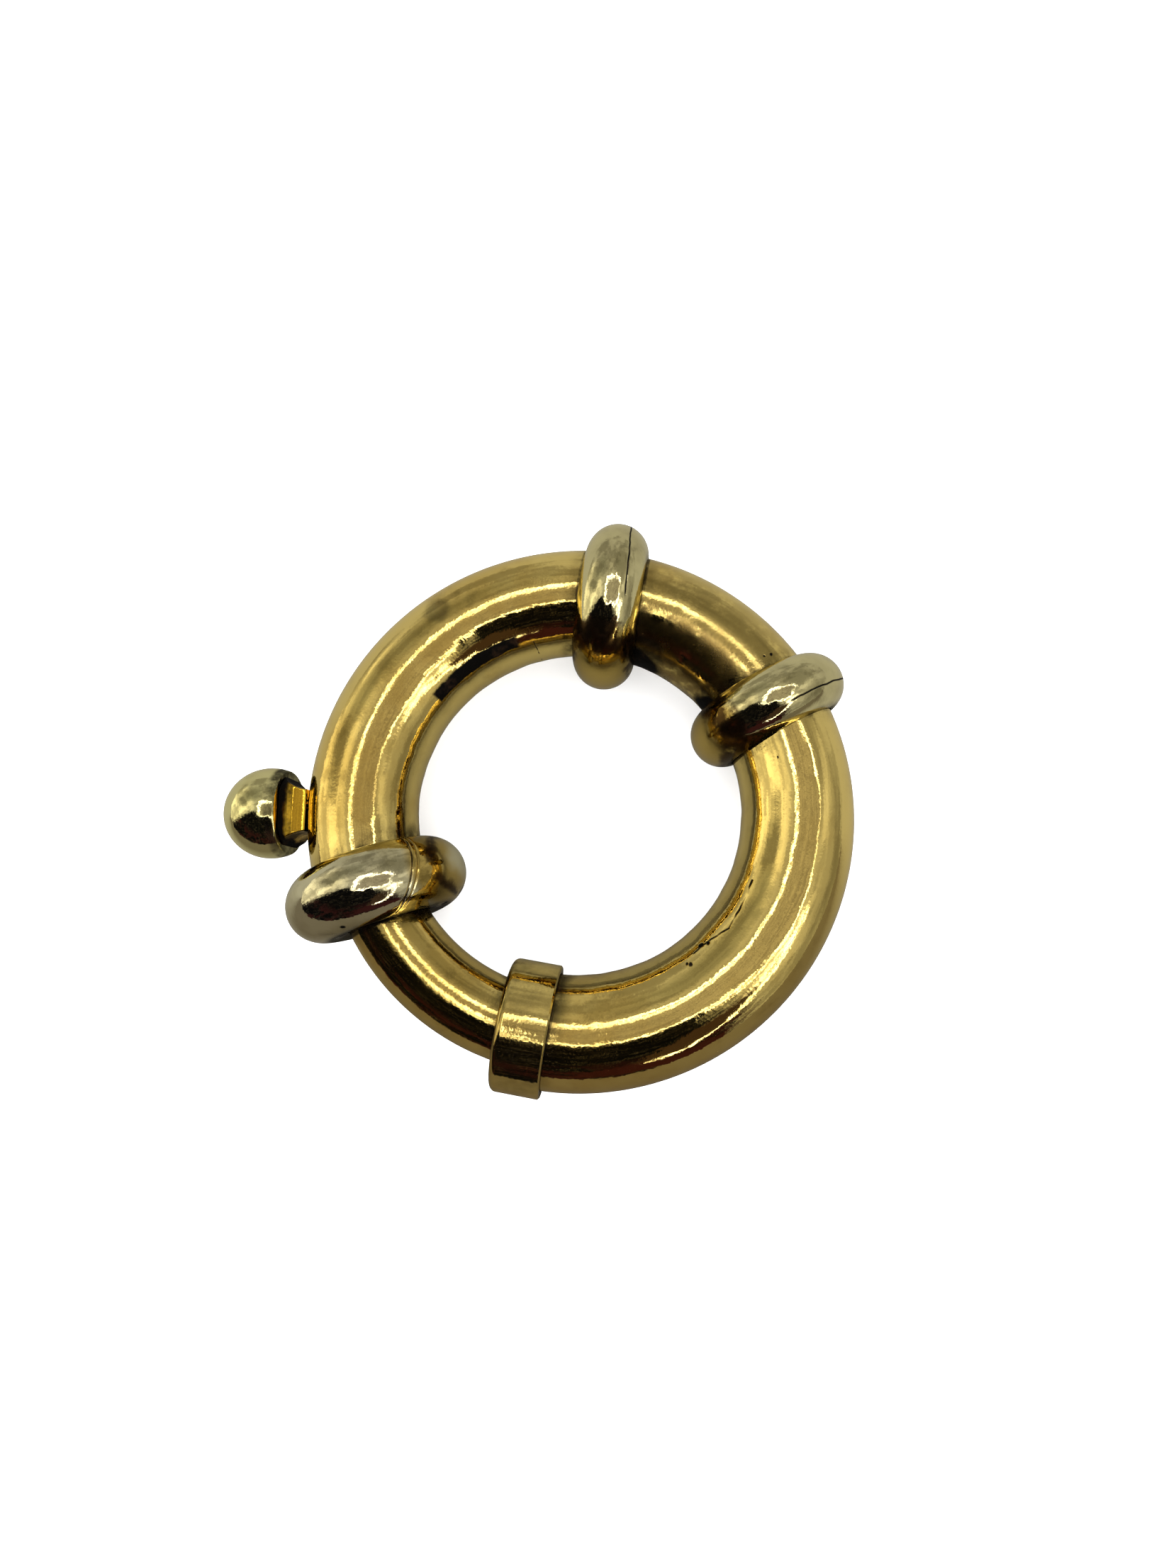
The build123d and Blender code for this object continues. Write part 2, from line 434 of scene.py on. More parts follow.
def make_bolt(finish):
    """A hollow rod bent to the ring's curve: open at the back, and closed at the tip, which is rounded."""
    tip = bolt_tip
    back = (knob_angle - catch_angle) * ring_radius - bolt_tail
    outline = np.concatenate([
        straight((tip - bolt_cap, 0), (tip - bolt_cap, bolt_bore), 6),
        straight((tip - bolt_cap, bolt_bore), (back, bolt_bore), 90),
        straight((back, bolt_bore), (back, bolt_radius - tip_round), 2),
        corner(back + tip_round, bolt_radius - tip_round, tip_round, 180, 90),
        straight((back + tip_round, bolt_radius), (tip - tip_round, bolt_radius), 170),
        corner(tip - tip_round, bolt_radius - tip_round, tip_round, 90, 0),
        straight((tip, bolt_radius - tip_round), (tip, 0), 8),
    ])
    turn = np.linspace(0, 2 * pi, 121)
    skin = carry_round(outline, catch_angle, turn)
    return make_piece("bolt", "slider", finish, [skin])


# The knob: sections along its axis, which points away from the eye

def knob_skin(sections):
    """A skin through sections, each a distance from the eye along the knob's axis and its outline, whose
    points are complex numbers: forward round the eye, and upwards."""
    out, forward = directions(knob_angle)
    distance = np.array([reach for reach, outline in sections])[:, None, None]
    points = np.stack([outline for reach, outline in sections])[..., None]
    return distance * out + points.real * forward + points.imag * upwards


def square_section(half, edge_round):
    """A square of a half width, as far as it lies inside the head's circle. Each side is a straight stretch,
    and each corner an arc: a small round, or a piece of that circle."""
    cut = np.sqrt(head_radius**2 - half**2)
    flat = min(half - edge_round, cut)
    centre = 0.0 if cut < half - edge_round else half - edge_round
    side = half + 1j * flat * np.linspace(-1, 1, 31)
    start = np.angle(complex(half - centre, flat - centre))
    swing = np.linspace(start, pi / 2 - start, 9)[1:]
    corner_arc = centre * (1 + 1j) + np.hypot(half - centre, flat - centre) * np.exp(1j * swing)
    quarter = np.concatenate([side, corner_arc])
    return np.concatenate([quarter, 1j * quarter, -quarter, -1j * quarter])


def make_post(finish):
    """A square post with hollowed sides: its half width follows an arc from the neck to the head, whose
    corners are cut round. A stem below it reaches into the bolt, and a peg above it holds the ball."""
    edge_round = 0.05 * MM
    rise, flare = post_end - post_base, head_half_width - neck_half_width
    arc_radius = (rise**2 + flare**2) / (2 * flare)
    swings = np.linspace(0, np.arcsin(rise / arc_radius), 48)
    half_widths = neck_half_width + arc_radius * (1 - np.cos(swings))
    sides = [
        (post_base + arc_radius * sin(swing), square_section(half_width, edge_round))
        for swing, half_width in zip(swings, half_widths)
    ]
    foot, head = sides[0][1], sides[-1][1]
    stem, peg = stem_radius * foot / abs(foot), peg_radius * head / abs(head)
    below = [(stem_end, 0 * stem), (stem_end, stem), (post_base, stem)]
    above = [(post_end, peg), (post_end + peg_length, peg), (post_end + peg_length, 0 * peg)]
    return make_piece("knob_post", "slider", finish, [knob_skin(below + sides + above)])


def make_ball(finish):
    """A ball with a flat face towards the post and a hole there for the peg: circles of changing radius
    along the knob's axis."""
    face_round = 0.06 * MM
    face_swing = np.arccos((ball_face + face_round - ball_middle) / ball_radius)
    face_radius = ball_radius * np.sin(face_swing)
    hole = peg_radius + seat_gap
    hole_end = ball_face + peg_length
    outline = [
        (ball_middle + ball_radius * cos(swing), ball_radius * sin(swing))
        for swing in np.linspace(0, face_swing, 110)
    ]
    outline += [
        (ball_face + face_round / 3, face_radius - face_round / 2),
        (ball_face, face_radius - 2 * face_round),
        (ball_face, hole),
        (hole_end, hole),
        (hole_end, 0.0),
    ]
    circle = np.exp(1j * full_turn)
    skin = knob_skin([(reach, radius * circle) for reach, radius in outline])
    return make_piece("knob_ball", "slider", finish, [skin])


# Shader arithmetic

# How much of a fine line's width is solid, before it fades
solid_share = 0.3


class Level:
    """An output of a node. Arithmetic on numbers that vary over a surface adds the Math nodes that work them
    out."""

    def __init__(self, sheet, socket):
        self.sheet = sheet
        self.socket = socket

    def __add__(self, other):
        return self.sheet.math("ADD", self, other)

    def __sub__(self, other):
        return self.sheet.math("SUBTRACT", self, other)

    def __mul__(self, other):
        return self.sheet.math("MULTIPLY", self, other)

    def __truediv__(self, other):
        return self.sheet.math("DIVIDE", self, other)

    def __pow__(self, other):
        return self.sheet.math("POWER", self, other)

    def __rsub__(self, other):
        return self.sheet.math("SUBTRACT", other, self)

    def __rtruediv__(self, other):
        return self.sheet.math("DIVIDE", other, self)

    def __neg__(self):
        return self.sheet.math("SUBTRACT", 0.0, self)

    def __abs__(self):
        return self.sheet.math("ABSOLUTE", self)

    __radd__ = __add__
    __rmul__ = __mul__


class Sheet:
    """The nodes of a material or of the world, and the one way in which a node is added to them."""

    def __init__(self, tree):
        self.tree = tree
        tree.nodes.clear()

    def node(self, kind, settings=None, inputs=None, output=0):
        """Adds a node, makes its settings, sets or links its inputs, and gives one of its outputs."""
        made = self.tree.nodes.new(kind)
        for name, value in (settings or {}).items():
            setattr(made, name, value)
        for name, value in (inputs or {}).items():
            if isinstance(value, Level):
                self.tree.links.new(value.socket, made.inputs[name])
            else:
                made.inputs[name].default_value = value
        return Level(self, made.outputs[output]) if made.outputs else None

    def math(self, operation, *values):
        return self.node("ShaderNodeMath", {"operation": operation}, dict(enumerate(values)))

    def smaller(self, a, b):
        return self.math("MINIMUM", a, b)

    def larger(self, a, b):
        return self.math("MAXIMUM", a, b)

    def rise(self, value, start, end):
        """0 before the start and 1 past the end, with a smooth rise between them."""
        settings = {"interpolation_type": "SMOOTHSTEP"}
        inputs = {"Value": value, "From Min": start, "From Max": end}
        return self.node("ShaderNodeMapRange", settings, inputs)

    def between(self, value, start, full_from, full_to, end):
        """0 outside a stretch, 1 in its full part, and a smooth rise and fall at its ends."""
        return self.rise(value, start, full_from) * self.rise(value, end, full_to)

    def blend(self, share, a, b):
        """Goes from colour a to colour b as the share rises. A Mix node has its factor at input 0 and its
        two colours at 6 and 7, and gives a colour at output 2."""
        return self.node("ShaderNodeMix", {"data_type": "RGBA"}, {0: share, 6: a, 7: b}, output=2)

    def vector(self, operation, *values, output="Vector"):
        return self.node("ShaderNodeVectorMath", {"operation": operation}, dict(enumerate(values)), output)

    def along_axis(self, vector, axis):
        """The length of a vector along a direction."""
        return self.vector("DOT_PRODUCT", vector, tuple(axis), output="Value")

    def from_eye_axis(self, place):
        """How far a place is from the eye's upright axis."""
        level = self.vector("MULTIPLY", place, (1.0, 1.0, 0.0))
        return self.vector("LENGTH", level, output="Value")

    def noise(self, vector, scale, detail=2.0, roughness=0.5, output=0):
        """A noise whose scale is its features for each unit of length. Its outputs are a number and a
        vector."""
        inputs = {"Vector": vector, "Scale": scale, "Detail": detail, "Roughness": roughness}
        return self.node("ShaderNodeTexNoise", None, inputs, output)

    def stray(self, vector, scale, amount):
        """A vector moved a little, by an amount that changes from place to place."""
        shift = self.vector("SUBTRACT", self.noise(vector, scale, output=1), (0.5, 0.5, 0.5))
        return self.vector("MULTIPLY_ADD", shift, (amount, amount, amount), vector)

    def spot(self, place, centre, size, soft=0.5):
        """1 at a centre, falling to 0 at a distance of the size."""
        distance = self.vector("DISTANCE", place, tuple(centre), output="Value")
        return self.rise(distance, size, size * (1 - soft))

    def line(self, place, points, width):
        """1 on a chain of straight stretches, falling to 0 at its width."""
        nearest = 1.0
        for start, end in zip(points, points[1:]):
            stretch = end - start
            from_start = self.vector("SUBTRACT", place, tuple(start))
            share = self.along_axis(from_start, stretch / (stretch @ stretch))
            share = self.smaller(self.larger(share, 0.0), 1.0)
            scaled = {0: tuple(stretch), "Scale": share}
            reached = self.node("ShaderNodeVectorMath", {"operation": "SCALE"}, scaled)
            distance = self.vector("DISTANCE", from_start, reached, output="Value")
            nearest = self.smaller(nearest, distance)
        return self.rise(nearest, width, width * solid_share)

    def scratch(self, place, points, width):
        """1 where the plane through three points of a skin cuts it, from the first point to the last, and no
        lower than the first."""
        start, middle, end = points
        stretch = end - start
        normal = np.cross(middle - start, stretch)
        from_start = self.vector("SUBTRACT", place, tuple(start))
        aside = self.along_axis(from_start, normal / np.linalg.norm(normal))
        share = self.along_axis(from_start, stretch / (stretch @ stretch))
        within = self.between(share, 0.0, 0.04, 0.96, 1.0)
        on_top = self.rise(self.along_axis(from_start, upwards), -0.4 * MM, -0.2 * MM)
        return self.rise(abs(aside), width, width * solid_share) * within * on_top


# Where the tube's, the bands' and the knob's finish changes

def on_tube(angle, turn):
    """A point on the tube's skin, its angles in degrees."""
    return tube_point(radians(angle), tube_radius, radians(turn))


def on_band(band, turn, oval):
    """A point on a band's skin, its angles in degrees."""
    return band_point(band, np.array(radians(turn)), np.array(radians(oval)))


def out_of_line(sheet, place):
    """How far a point lies outwards from the tube's centre line, and how far above it."""
    return sheet.from_eye_axis(place) - ring_radius, sheet.along_axis(place, upwards)


def round_eye(sheet, place):
    """The angle round the eye, in radians from the point across from the mouth ring. Its one break lies
    under that ring."""
    out, forward = directions(mouth_angle + pi)
    return sheet.math("ARCTAN2", sheet.along_axis(place, forward), sheet.along_axis(place, out))


def grime_and_shade_by_joints(sheet, place):
    """Grime that polishing doesn't reach, and painted shade in the crevices: on the tube and the bolt,
    beside the bands and the collar, the most on the side towards the eye, and a thin dark line where they
    touch."""
    outward = out_of_line(sheet, place)[0]
    inner = 0.35 + 0.65 * sheet.rise(outward, 0.8 * MM, -1.4 * MM)
    grime_and_shade = 0.0
    for angle, half_width in (
        (mouth_angle, mouth_half_width),
        (stop_top_angle, stop_top_half_width),
        (stop_side_angle, stop_side_half_width),
        (collar_angle, collar_half_length),
    ):
        out, forward = directions(angle)
        distance = abs(sheet.along_axis(place, forward)) - half_width
        wide = sheet.rise(distance, 0.7 * MM, 0.0) * inner
        near = sheet.larger(wide, sheet.rise(distance, 0.16 * MM, 0.04 * MM))
        near = near * sheet.rise(sheet.along_axis(place, out), 0.0, 1 * MM)
        grime_and_shade = sheet.larger(grime_and_shade, near)
    return grime_and_shade


def grime_and_shade_by_tube(sheet, place):
    """The same grime and painted shade on a band or the collar, near the tube."""
    outward, height = out_of_line(sheet, place)
    distance = sheet.math("SQRT", outward * outward + height * height) - tube_radius
    return sheet.rise(distance, 0.5 * MM, 0.05 * MM)


def shade_by_ball(sheet, place):
    """Painted shade in the groove between the post's head and the ball."""
    reach = sheet.along_axis(place, directions(knob_angle)[0])
    return sheet.rise(abs(reach - post_end), 0.50 * MM, 0.30 * MM)


def post_shade(sheet, place):
    """The same painted shade on the post, in the groove under its head, and a painted dark reflection on its
    side towards the mouth.
    """
    normal = sheet.node("ShaderNodeTexCoord", output="Normal")
    dark_side = sheet.rise(sheet.along_axis(normal, directions(knob_angle)[1]), 0.45, 0.75)
    return sheet.larger(shade_by_ball(sheet, place), dark_side)


def tube_stains_and_shade(sheet, place, angle, outward, height, mottle):
    """A painted dark reflection on the tube's inner side: a long patch with sharp ends and a thin line.
    Painted shade in the corners that the two stop rings make with it, and a fainter dark patch. The angle
    round the eye is in degrees."""
    up_from_inside = sheet.math("ARCTAN2", height, -outward) * (180 / pi) + (mottle - 0.5) * 9
    dark_reflection_patch = sheet.between(angle, 109, 111, 142.5, 143.5)
    dark_reflection_patch = dark_reflection_patch * sheet.between(up_from_inside, 30.5, 32.5, 45, 48)
    fading_side = sheet.rise(up_from_inside, 13, 29) * 0.3
    dark_reflection_line = sheet.larger(fading_side, sheet.rise(up_from_inside, 26.5, 29.5) * 0.6)
    dark_reflection_line = dark_reflection_line * sheet.rise(up_from_inside, 35.5, 32.5)
    stains_and_shade = sheet.larger(dark_reflection_patch, dark_reflection_line)
    strayed = sheet.stray(place, 900.0, 0.6 * MM)
    # The first four spots are painted shade in the corners beside the stop rings, the last a fainter dark
    # patch on the tube's top: each an angle round the eye, a turn round the tube, a size in millimetres and
    # a share
    for angle_there, turn_there, size, share in (
        (69.0, 176, 1.35, 1.0),
        (66.0, 150, 0.9, 0.8),
        (37.5, 168, 1.0, 1.0),
        (40.0, 150, 0.7, 0.8),
        (126.3, 68, 0.75, 0.5),
    ):
        dark_spot = sheet.spot(strayed, on_tube(angle_there, turn_there), size * MM, soft=0.4)
        stains_and_shade = sheet.larger(stains_and_shade, dark_spot * share)
    return stains_and_shade


def dull_patches(sheet, angle, outward, height, cloud):
    """Where the polish has gone: on the tube between the two stop rings, the most on its inner half, and on
    the bolt beside the mouth. The angle round the eye is in degrees."""
    between_stops = sheet.between(angle, 30, 36, 71, 77)
    inner = sheet.rise(outward + (cloud - 0.5) * (1.5 * MM), 0.2 * MM, -0.7 * MM)
    on_top = sheet.rise(height, 1.0 * MM, 1.9 * MM) * 0.45
    at_mouth = sheet.between(angle, 206, 212, 216, 226) * 0.3
    return sheet.larger(between_stops * sheet.larger(inner, on_top), at_mouth)


def tube_marks(sheet, place):
    """A crack across the tube's inner side, a dark flaw along it, and pits."""
    strayed = sheet.stray(place, 1200.0, 0.25 * MM)
    crack = [on_tube(*angles) for angles in ((105.4, 147), (104.6, 165), (104, 184))]
    flaw = [
        on_tube(*angles)
        for angles in ((308.2, 135), (314.5, 134.5), (320.5, 126.5), (326, 129), (331, 131.5), (336.3, 134))
    ]
    marks = sheet.larger(sheet.line(strayed, crack, 0.035 * MM), sheet.line(strayed, flaw, 0.06 * MM))
    for angle, turn, size in (
        (305.4, 127.5, 0.12),
        (304.6, 131, 0.09),
        (12.6, 114, 0.05),
        (28.2, 46.5, 0.07),
        (37.3, 70, 0.10),
        (37.9, 77, 0.08),
        (299.2, 80, 0.05),
        (311, 136.5, 0.15),
        (313, 133.5, 0.12),
    ):
        marks = sheet.larger(marks, sheet.spot(strayed, on_tube(angle, turn), size * MM))
    return marks


def stop_marks(sheet, place):
    """The hairlines across the two stop rings."""
    strayed = sheet.stray(place, 1200.0, 0.12 * MM)
    marks = 0.0
    for band, places in (
        (stop_top_band, ((12, -16), (50, -22), (104.5, -33))),
        (stop_side_band, ((12, -20), (50, -25), (89, -28.5))),
    ):
        hairline = [on_band(band, turn, oval) for turn, oval in places]
        marks = sheet.larger(marks, sheet.scratch(strayed, hairline, 0.05 * MM))
    return marks


def mouth_marks(sheet, place):
    """The dark edge of the mouth ring's seam, a long pit, and small ones beside the tube and the bolt."""
    groove = -seam_half_gap / mouth_radius
    ovals = np.radians(np.linspace(-75, 75, 6))
    seam = [band_point(mouth_band, seam_line(oval) + groove, oval) for oval in ovals]
    marks = sheet.line(place, seam, 0.05 * MM) * 0.9
    strayed = sheet.stray(place, 1200.0, 0.12 * MM)
    pit = [on_band(mouth_band, 136, 77), on_band(mouth_band, 141, 80)]
    marks = sheet.larger(marks, sheet.line(strayed, pit, 0.12 * MM))
    for turn, oval, size in ((174.5, 80, 0.22), (71, 62, 0.15)):
        marks = sheet.larger(marks, sheet.spot(strayed, on_band(mouth_band, turn, oval), size * MM))
    return marks


def shade_under_post_head(sheet, place):
    """A dark band of painted shade under the post's head, with a ragged edge."""
    reach = sheet.along_axis(sheet.stray(place, 1400.0, 0.4 * MM), directions(knob_angle)[0])
    return sheet.rise(reach, post_end - 0.38 * MM, post_end - 0.14 * MM)


# Finishes

# The golds' tints: bright, and where the gold has dulled
yellow_tint = (1.0, 0.765, 0.25, 1)
yellow_deep = (0.78, 0.54, 0.14, 1)
post_tint = (0.92, 0.56, 0.05, 1)
post_deep = (0.58, 0.28, 0.03, 1)
mouth_tint = (0.82, 0.75, 0.48, 1)
stop_tint = (0.82, 0.73, 0.38, 1)
pale_deep = (0.50, 0.43, 0.22, 1)
ball_tint = (0.88, 0.80, 0.38, 1)
ball_deep = (0.64, 0.55, 0.22, 1)

# Wear: the gold bared under the pale one, the brown edge of that, gold that has lost its polish, and the
# two tones of the crust, which holds tarnish and grime, painted shade and painted dark reflections
bared_tint = (0.62, 0.43, 0.10, 1)
edge_brown = (0.10, 0.045, 0.012, 1)
dull_brown = (0.17, 0.10, 0.03, 1)
crust_and_shade_black = (0.0015, 0.001, 0.0006, 1)
crust_and_shade_brown = (0.012, 0.005, 0.0015, 1)

# The finish's noises, from broad clouds to grain, in features for each metre
cloud_scale = 260.0
mottle_scale = 1100.0
wave_scale = 700.0
ripple_scale = 2600.0
grain_scale = 9000.0

# The lines drawn along the tube: features for each metre across it and along it
fine_scale = 1500.0
coarse_scale = 170.0

# How high the finish's relief stands, for a wear of 1
relief_height = 2.4e-6


class Gold:
    """Worn, polished gold, while its material is made: its colour, roughness, height and crust so far. The
    surface has a soft waviness, fine ripples and grain, and is duller in patches and speckles. The crust is
    a dark, matt layer of tarnish and grime, and also of painted shade and painted dark reflections."""

    def __init__(self, name, tint, deep_tint, wear, seed):
        self.material = bpy.data.materials.new(name)
        self.material.use_nodes = True
        self.wear = wear
        self.sheet = sheet = Sheet(self.material.node_tree)
        self.place = sheet.node("ShaderNodeTexCoord", output="Object")
        shifted = sheet.vector("ADD", self.place, (seed * 0.01, 0.003, 0.0))
        self.cloud = sheet.noise(shifted, cloud_scale, detail=4.0, roughness=0.6)
        self.mottle = sheet.noise(shifted, mottle_scale, detail=4.0, roughness=0.65)
        wave = sheet.noise(shifted, wave_scale, detail=1.0)
        ripple = sheet.noise(shifted, ripple_scale, roughness=0.6)
        grain = sheet.noise(shifted, grain_scale, detail=1.0)
        patch = sheet.rise(self.cloud, 0.45, 0.68)
        self.speckle = sheet.rise(self.mottle, 0.52, 0.72)
        self.dark_tint = tuple(value * 0.42 for value in deep_tint[:3]) + (1,)
        colour = sheet.blend(patch * 0.75, tint, deep_tint)
        self.colour = sheet.blend(self.speckle * 0.38 * (0.35 + patch), colour, self.dark_tint)
        self.rough = 0.035 + 0.06 * wear * patch + 0.05 * wear * self.speckle
        self.height = wave * 1.8 + ripple * (1.5 + patch * 2.2) + grain * 0.7
        self.crust_and_shade = 0.0

    def wear_through(self, bare_from, bare_to, edge_from, edge_to):
        """Bares the gold underneath between two distances from the eye's axis, the farther one first, and
        stains a ragged stretch brown between two others."""
        sheet = self.sheet
        reach = sheet.from_eye_axis(self.place) + (self.cloud - 0.5) * (1.0 * MM)
        ragged = reach + (self.mottle - 0.5) * (0.6 * MM)
        bared = sheet.between(reach, bare_to - 0.4 * MM, bare_to, bare_from - 0.5 * MM, bare_from)
        stained = sheet.between(ragged, edge_to - 0.3 * MM, edge_to, edge_from - 0.2 * MM, edge_from)
        stained = stained * sheet.rise(self.mottle, 0.34, 0.50)
        self.colour = sheet.blend(bared * 0.92, self.colour, bared_tint)
        self.colour = sheet.blend(stained * 0.9, self.colour, edge_brown)
        self.rough = self.rough + stained * 0.15
        self.crust_and_shade = stained * 0.45

    def wear_and_shade_along_tube(self):
        """Draws faint lines along the tube, takes its polish away in places, stains it, and paints dark
        reflections and shade on it.
        """
        sheet = self.sheet
        turned = round_eye(sheet, self.place)
        angle = turned * (180 / pi) + degrees(mouth_angle - pi)
        outward, height = out_of_line(sheet, self.place)
        stretched = sheet.node("ShaderNodeCombineXYZ", None, {
            "X": outward * fine_scale,
            "Y": height * fine_scale,
            "Z": turned * (ring_radius * coarse_scale),
        })
        flow = sheet.noise(stretched, 1.0, detail=4.0, roughness=0.65)
        dull = dull_patches(sheet, angle, outward, height, self.cloud) * sheet.rise(self.mottle, 0.32, 0.54)
        self.colour = sheet.blend(sheet.rise(flow, 0.42, 0.68) * 0.05, self.colour, self.dark_tint)
        self.colour = sheet.blend(dull * 0.8, self.colour, dull_brown)
        self.rough = self.rough + dull * 0.20
        self.height = self.height + flow * 0.08 + dull * self.mottle * 2.0
        self.crust_and_shade = tube_stains_and_shade(sheet, self.place, angle, outward, height, self.mottle)

    def lay_grime_and_shade(self, grime_and_shade):
        """Adds grime and painted shade to the crust, broken by the noises."""
        broken = self.sheet.rise(self.mottle * 0.5 + self.cloud * 0.5, 0.36, 0.56)
        self.crust_and_shade = self.sheet.larger(self.crust_and_shade, grime_and_shade(self.sheet, self.place) * broken * 0.9)

    def cut_marks(self, marks):
        """Adds dark marks to the crust and sinks them; on the post the mark is painted shade under its head.
        """
        cut = marks(self.sheet, self.place)
        self.crust_and_shade = self.sheet.larger(self.crust_and_shade, cut)
        self.height = self.height - cut * 3.0

    def finish(self):
        """Joins the metal and its crust into the material."""
        sheet = self.sheet
        relief = sheet.node("ShaderNodeBump", None, {
            "Strength": 1.0,
            "Distance": relief_height * self.wear,
            "Height": self.height,
        })
        metal = sheet.node("ShaderNodeBsdfPrincipled", None, {
            "Base Color": self.colour,
            "Metallic": 1.0,
            "Roughness": self.rough,
            "Specular Tint": (1.0, 0.97, 0.88, 1),
            "Normal": relief,
        })
        # The crust's shader: tarnish and grime, and also painted shade and painted dark reflections
        tarnish_and_shade = sheet.node("ShaderNodeBsdfPrincipled", None, {
            "Base Color": sheet.blend(self.speckle, crust_and_shade_black, crust_and_shade_brown),
            "Roughness": 0.6,
            "Specular IOR Level": 0.05,
            "Normal": relief,
        })
        shader = sheet.node("ShaderNodeMixShader", None, {0: self.crust_and_shade, 1: metal, 2: tarnish_and_shade})
        sheet.node("ShaderNodeOutputMaterial", None, {"Surface": shader})
        return self.material


def make_tube_gold():
    """Yellow gold for the tube and the bolt, worn along the tube, with painted shade beside the rings and
    the collar and painted dark reflections on the tube.
    """
    gold = Gold("tube_gold", yellow_tint, yellow_deep, wear=1.0, seed=1)
    gold.wear_and_shade_along_tube()
    gold.lay_grime_and_shade(grime_and_shade_by_joints)
    gold.cut_marks(tube_marks)
    return gold.finish()


def make_collar_gold():
    """Yellow gold for the collar, with grime and painted shade beside the tube."""
    gold = Gold("collar_gold", yellow_tint, yellow_deep, wear=1.0, seed=3)
    gold.lay_grime_and_shade(grime_and_shade_by_tube)
    return gold.finish()


def make_post_gold():
    """A deeper yellow gold for the post, with painted shade under its head and a painted dark reflection on
    the side towards the mouth.
    """
    gold = Gold("post_gold", post_tint, post_deep, wear=1.0, seed=4)
    gold.lay_grime_and_shade(post_shade)
    gold.cut_marks(shade_under_post_head)
    return gold.finish()


def make_stop_gold():
    """Pale gold for the stop rings, worn through on the side towards the eye."""
    gold = Gold("pale_gold", stop_tint, pale_deep, wear=1.3, seed=2)
    gold.wear_through(7.1 * MM, 0.0, 7.1 * MM, 6.2 * MM)
    gold.lay_grime_and_shade(grime_and_shade_by_tube)
    gold.cut_marks(stop_marks)
    return gold.finish()


def make_mouth_gold():
    """Pale gold for the mouth ring, worn through on a stretch of its side towards the eye."""
    gold = Gold("mouth_gold", mouth_tint, pale_deep, wear=1.3, seed=2)
    gold.wear_through(6.9 * MM, 5.5 * MM, 6.1 * MM, 5.85 * MM)
    gold.lay_grime_and_shade(grime_and_shade_by_tube)
    gold.cut_marks(mouth_marks)
    return gold.finish()


def make_ball_gold():
    """Pale gold for the ball, with painted shade in its groove."""
    gold = Gold("ball_gold", ball_tint, ball_deep, wear=1.1, seed=5)
    gold.lay_grime_and_shade(shade_by_ball)
    return gold.finish()


# The stage: floor, studio and camera

def make_floor():
    """A plain pale floor. Seen in the gold it is a duller tone, with a painted shadow that makes it the
    darkest to the south.
    """
    half_side = 2.0
    mesh = bpy.data.meshes.new("floor")
    corners = [(x * half_side, y * half_side, floor_height) for x, y in ((-1, -1), (1, -1), (1, 1), (-1, 1))]
    mesh.from_pydata(corners, [], [(0, 1, 2, 3)])
    floor = bpy.data.objects.new("floor", mesh)
    bpy.context.collection.objects.link(floor)
    material = bpy.data.materials.new("pale_floor")
    material.use_nodes = True
    sheet = Sheet(material.node_tree)
    seen = sheet.node("ShaderNodeLightPath", output="Is Camera Ray")
    place = sheet.node("ShaderNodeTexCoord", output="Object")
    # A painted shadow: the floor's tone in reflections darkens to the south
    south = sheet.rise(sheet.along_axis(place, (0.0, -1.0, 0.0)), -1 * MM, 11 * MM)
    reflected = sheet.blend(south, (0.16, 0.157, 0.143, 1), (0.06, 0.053, 0.044, 1))
    tone = sheet.blend(seen, reflected, (0.97, 0.97, 0.97, 1))
    shader = sheet.node("ShaderNodeBsdfDiffuse", None, {"Color": tone})
    sheet.node("ShaderNodeOutputMaterial", None, {"Surface": shader})
    mesh.materials.append(material)


def pale_walls(sheet, direction, haze):
    """Pale walls, with lighter and darker places round some directions, and a haze over them."""
    height = sheet.along_axis(direction, upwards)
    walls = sheet.blend(sheet.rise(height, 0.1, 0.9), (0.48, 0.47, 0.43, 1), (0.50, 0.48, 0.42, 1))
    # Each place's angle from east, its angle from overhead and its width, in degrees, its tone and its share
    for azimuth, polar, width, tone, share in (
        (-8, 48, 34, (0.80, 0.77, 0.68, 1), 0.9),
        (-5, 70, 26, (0.22, 0.21, 0.18, 1), 0.7),
        (177, 64, 48, (1.5, 1.4, 1.1, 1), 0.95),
        (152, 58, 22, (0.13, 0.13, 0.10, 1), 0.8),
        (95, 75, 34, (0.48, 0.47, 0.43, 1), 0.8),
        (125, 48, 22, (0.20, 0.20, 0.16, 1), 0.7),
        (52, 52, 30, (0.22, 0.21, 0.17, 1), 0.8),
    ):
        flat = sin(radians(polar))
        axis = (cos(radians(azimuth)) * flat, sin(radians(azimuth)) * flat, cos(radians(polar)))
        near = sheet.rise(sheet.along_axis(direction, axis), cos(radians(width)), cos(radians(width * 0.3)))
        walls = sheet.blend(near * share, walls, tone)
    return sheet.blend(sheet.rise(haze, 0.40, 0.62) * 0.6, walls, (0.13, 0.12, 0.09, 1))


